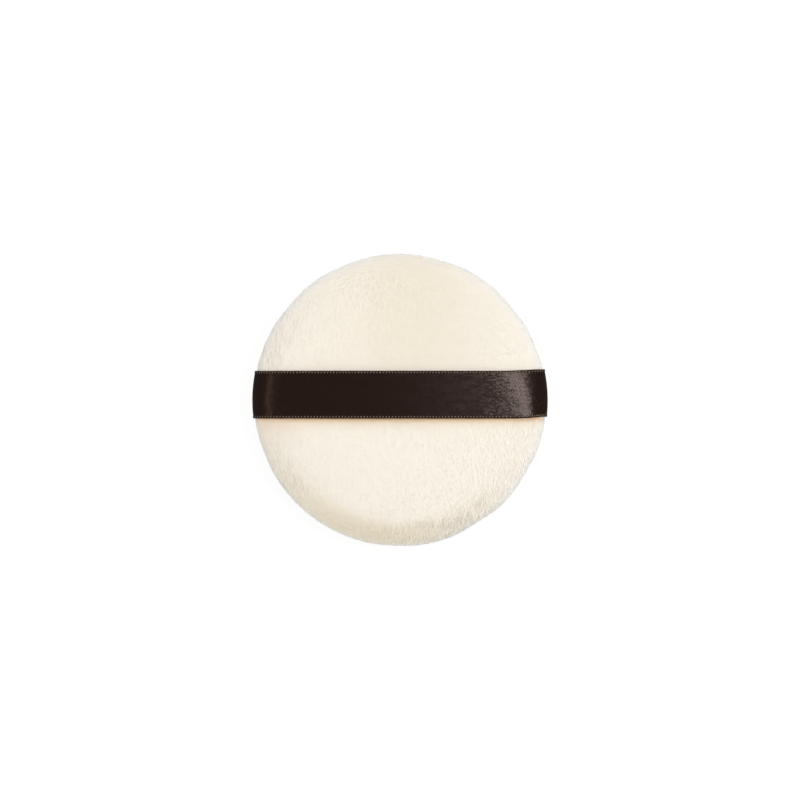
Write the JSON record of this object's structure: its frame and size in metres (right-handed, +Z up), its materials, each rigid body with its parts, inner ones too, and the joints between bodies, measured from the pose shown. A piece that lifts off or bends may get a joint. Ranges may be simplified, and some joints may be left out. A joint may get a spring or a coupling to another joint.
{
  "type": "powder puff",
  "caption": "Round velour powder puff, foam filled and sewn round its rim, with a satin ribbon strap across its back for the fingers.",
  "frame": {"origin": "on the rest plane, under the middle of the puff, which lies on its powder face with the ribbon on top", "axes": "+Z up out of the strap side, +X along the ribbon, towards the end that runs slightly off to one side, +Y across the ribbon"},
  "size_m": [0.0798, 0.0782, 0.016],
  "materials": {
    "velour": "cream cut-pile cotton velour, matt",
    "foam": "soft open-cell polyurethane foam, off-white",
    "satin": "dark brown double-face satin ribbon, glossy across the floats",
    "cream_thread": "cream polyester sewing thread",
    "dark_thread": "dark brown polyester sewing thread"
  },
  "bodies": {
    "puff": {"front_cover": "velour", "back_cover": "velour", "foam_core": "foam", "seam_needle_thread": "cream_thread", "seam_bobbin_thread": "cream_thread", "closing_stitches": "cream_thread", "right_ribbon_tack": "dark_thread", "left_ribbon_tack": "dark_thread"},
    "strap": {"ribbon_strap": "satin"}
  },
  "joints": [
    {"name": "strap_lift", "type": "slide", "parent": "puff", "child": "strap", "axis": [0, 0, 1], "range_m": [0, 0.006], "stiffness_N_per_m": 60, "deforming": ["ribbon_strap"]}
  ]
}
